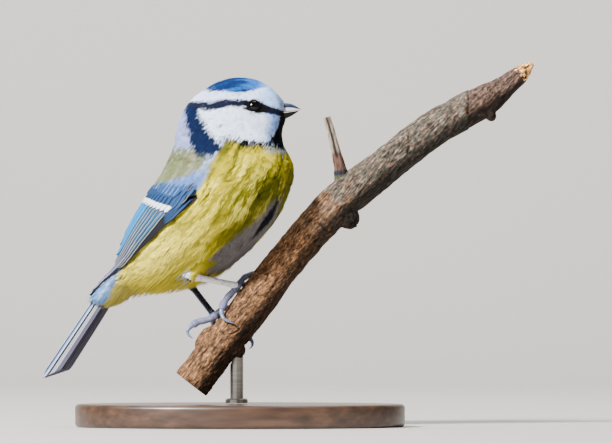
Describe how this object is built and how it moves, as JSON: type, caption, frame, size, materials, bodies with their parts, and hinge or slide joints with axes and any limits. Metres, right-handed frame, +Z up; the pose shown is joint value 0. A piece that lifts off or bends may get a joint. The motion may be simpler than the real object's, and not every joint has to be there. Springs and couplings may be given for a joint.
{
  "type": "blue tit on a cut branch",
  "caption": "Life-size still model of a small songbird gripping a slanting cut branch, on a plain oval display base with a short rod.",
  "frame": {"origin": "centre of the underside of the display base, on the floor", "axes": "+X the way the bird looks and the branch climbs, +Z up, -Y towards the camera and the bird's right side"},
  "size_m": [0.1476, 0.064, 0.1108],
  "materials": {
    "cap_plumage": "soft blue crown feathers over a white and navy face",
    "neck_plumage": "dark blue collar and white cheek feathers",
    "breast_plumage": "soft yellow breast feathers, grey-green on the back",
    "rump_plumage": "pale yellow and off-white body feathers",
    "wing_feather": "blue feathers with a white bar and dark tips",
    "tail_feather": "grey-blue feathers with pale edges",
    "eye": "wet black-brown",
    "bill": "smooth dark horn",
    "leg_skin": "scaly blue-grey skin",
    "claw": "satin grey horn",
    "bark": "rough brown bark with pale broken wood at the ends",
    "stand_wood": "plain waxed wood",
    "stand_metal": "satin metal"
  },
  "bodies": {
    "root": {"branch": "bark", "eye_left": "eye", "eye_right": "eye", "foot_left": "leg_skin", "foot_right": "leg_skin", "hallux_claw_left": "claw", "hallux_claw_right": "claw", "hallux_left": "leg_skin", "hallux_right": "leg_skin", "head": "cap_plumage", "lower_bill": "bill", "neck": "neck_plumage", "rump": "rump_plumage", "stand_base": "stand_wood", "stand_rod": "stand_metal", "tail": "tail_feather", "tarsus_left": "leg_skin", "tarsus_right": "leg_skin", "thigh_left": "rump_plumage", "thigh_right": "rump_plumage", "toe_2_claw_left": "claw", "toe_2_claw_right": "claw", "toe_2_left": "leg_skin", "toe_2_right": "leg_skin", "toe_3_claw_left": "claw", "toe_3_claw_right": "claw", "toe_3_left": "leg_skin", "toe_3_right": "leg_skin", "toe_4_claw_left": "claw", "toe_4_claw_right": "claw", "toe_4_left": "leg_skin", "toe_4_right": "leg_skin", "torso": "breast_plumage", "twig": "bark", "upper_bill": "bill", "wing_left": "wing_feather", "wing_right": "wing_feather"}
  },
  "joints": []
}
